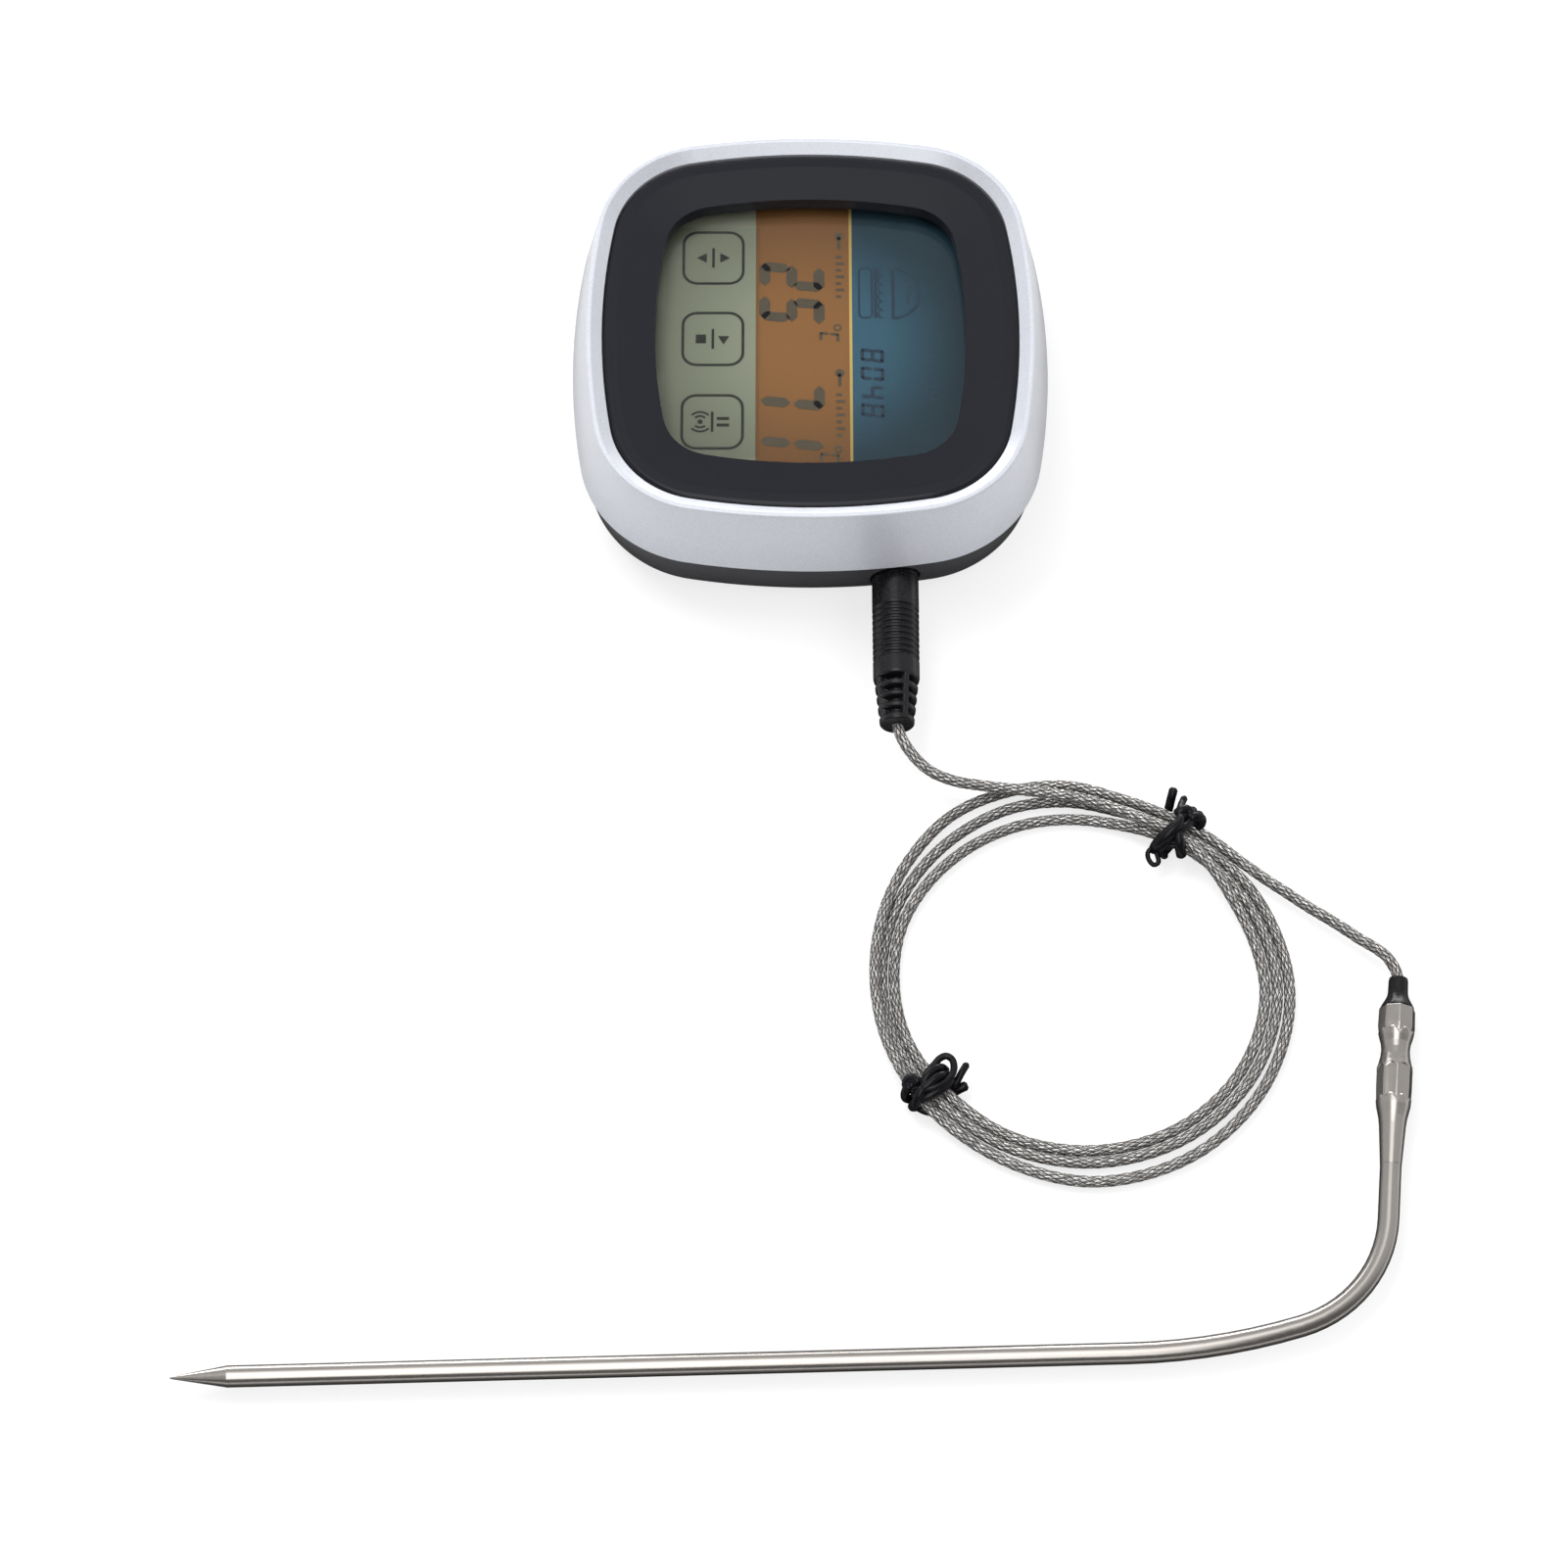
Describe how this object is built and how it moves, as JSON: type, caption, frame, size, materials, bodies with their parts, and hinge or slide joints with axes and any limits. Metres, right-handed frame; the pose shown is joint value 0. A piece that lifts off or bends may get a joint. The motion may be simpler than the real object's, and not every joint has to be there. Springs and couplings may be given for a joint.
{
  "type": "meat thermometer",
  "caption": "Leave-in meat thermometer: pocket touch display with fold-out stand, jack plug, coiled steel-braided lead and bent stainless needle probe.",
  "frame": {"origin": "centre of the display unit's flat back face", "axes": "+X to the display's top edge, +Y to the display's left edge, +Z out of the screen"},
  "size_m": [0.1841, 0.2066, 0.0241],
  "materials": {
    "silver_paint": "satin metallic silver paint on ABS",
    "bezel_plastic": "satin black ABS",
    "lens_glass": "clear acrylic",
    "clear_film": "clear film",
    "lcd_glass": "polarised display glass",
    "colour_film": "printed colour zones",
    "black_plastic": "moulded black ABS",
    "cover_plastic": "fine spark-eroded black ABS",
    "knob_plastic": "moulded dark grey",
    "plug_plastic": "satin black soft PVC",
    "elastomer": "layered silicone",
    "circuit_board": "green solder mask",
    "potting": "black epoxy",
    "zinc_steel": "zinc-plated steel",
    "nickel": "nickel plate",
    "cell_wrap": "printed shrink wrap",
    "wire_cover": "PVC insulation",
    "steel_braid": "braided stainless wire",
    "probe_steel": "fine ground stainless",
    "shrink_sleeve": "black polyolefin",
    "tie_vinyl": "glossy black vinyl over wire"
  },
  "bodies": {
    "unit": {"front_frame": "silver_paint", "front_bezel": "bezel_plastic", "touch_lens": "lens_glass", "touch_film": "clear_film", "lcd_front_glass": "lcd_glass", "lcd_rear_glass": "lcd_glass", "lcd_colour_film": "colour_film", "lcd_holder": "black_plastic", "contact_strips": "elastomer", "main_board": "circuit_board", "controller_chip": "potting", "board_parts": "potting", "board_screws": "zinc_steel", "sounder": "black_plastic", "rear_cover": "cover_plastic", "case_screws": "zinc_steel", "magnets": "nickel", "stand_pins": "zinc_steel", "cells": "cell_wrap", "contact_plates": "nickel", "contact_springs": "nickel", "switch_housing": "black_plastic", "probe_socket": "black_plastic", "socket_wires": "wire_cover", "battery_wires": "wire_cover"},
    "lead": {"cable_plug_tail": "steel_braid"},
    "plug": {"plug_body": "plug_plastic", "plug_sleeve": "nickel", "plug_insulator": "black_plastic", "plug_tip": "nickel"},
    "coil": {"cable_coil": "steel_braid", "twist_tie_upper": "tie_vinyl", "twist_tie_lower": "tie_vinyl"},
    "probe": {"cable_probe_tail": "steel_braid", "probe_tube": "probe_steel", "probe_tip": "probe_steel", "thermistor": "potting", "thermistor_leads": "wire_cover", "crimp_sleeve": "probe_steel", "heat_shrink": "shrink_sleeve"},
    "stand": {"stand": "cover_plastic"},
    "battery_door": {"battery_door": "cover_plastic"},
    "power_switch": {"switch_knob": "knob_plastic"}
  },
  "joints": [
    {"name": "stand_hinge", "type": "hinge", "parent": "unit", "child": "stand", "pos_m": [0.024, 0, 0.00195], "axis": [0, -1, 0], "range_deg": [0, 65]},
    {"name": "battery_door_hinge", "type": "hinge", "parent": "unit", "child": "battery_door", "pos_m": [0.0266, 0, 0.0009], "axis": [0, -1, 0], "range_deg": [0, 70]},
    {"name": "power_switch_slide", "type": "slide", "parent": "unit", "child": "power_switch", "axis": [1, 0, 0], "range_m": [0, 0.002]},
    {"name": "plug_slide", "type": "slide", "parent": "unit", "child": "lead", "axis": [0, -1, 0], "range_m": [0, 0.02]},
    {"name": "plug_turn", "type": "hinge", "parent": "lead", "child": "plug", "pos_m": [0.0133, -0.05, 0.0064], "axis": [0, -1, 0], "range_deg": [-180, 180]},
    {"name": "cable_bend", "type": "hinge", "parent": "lead", "child": "coil", "pos_m": [0.0196, -0.071, 0.00425], "axis": [0, 0, 1], "range_deg": [-20, 20]},
    {"name": "probe_swing", "type": "hinge", "parent": "coil", "child": "probe", "pos_m": [0.0728, -0.0893, 0.0023], "axis": [0, 0, 1], "range_deg": [-25, 60]}
  ]
}
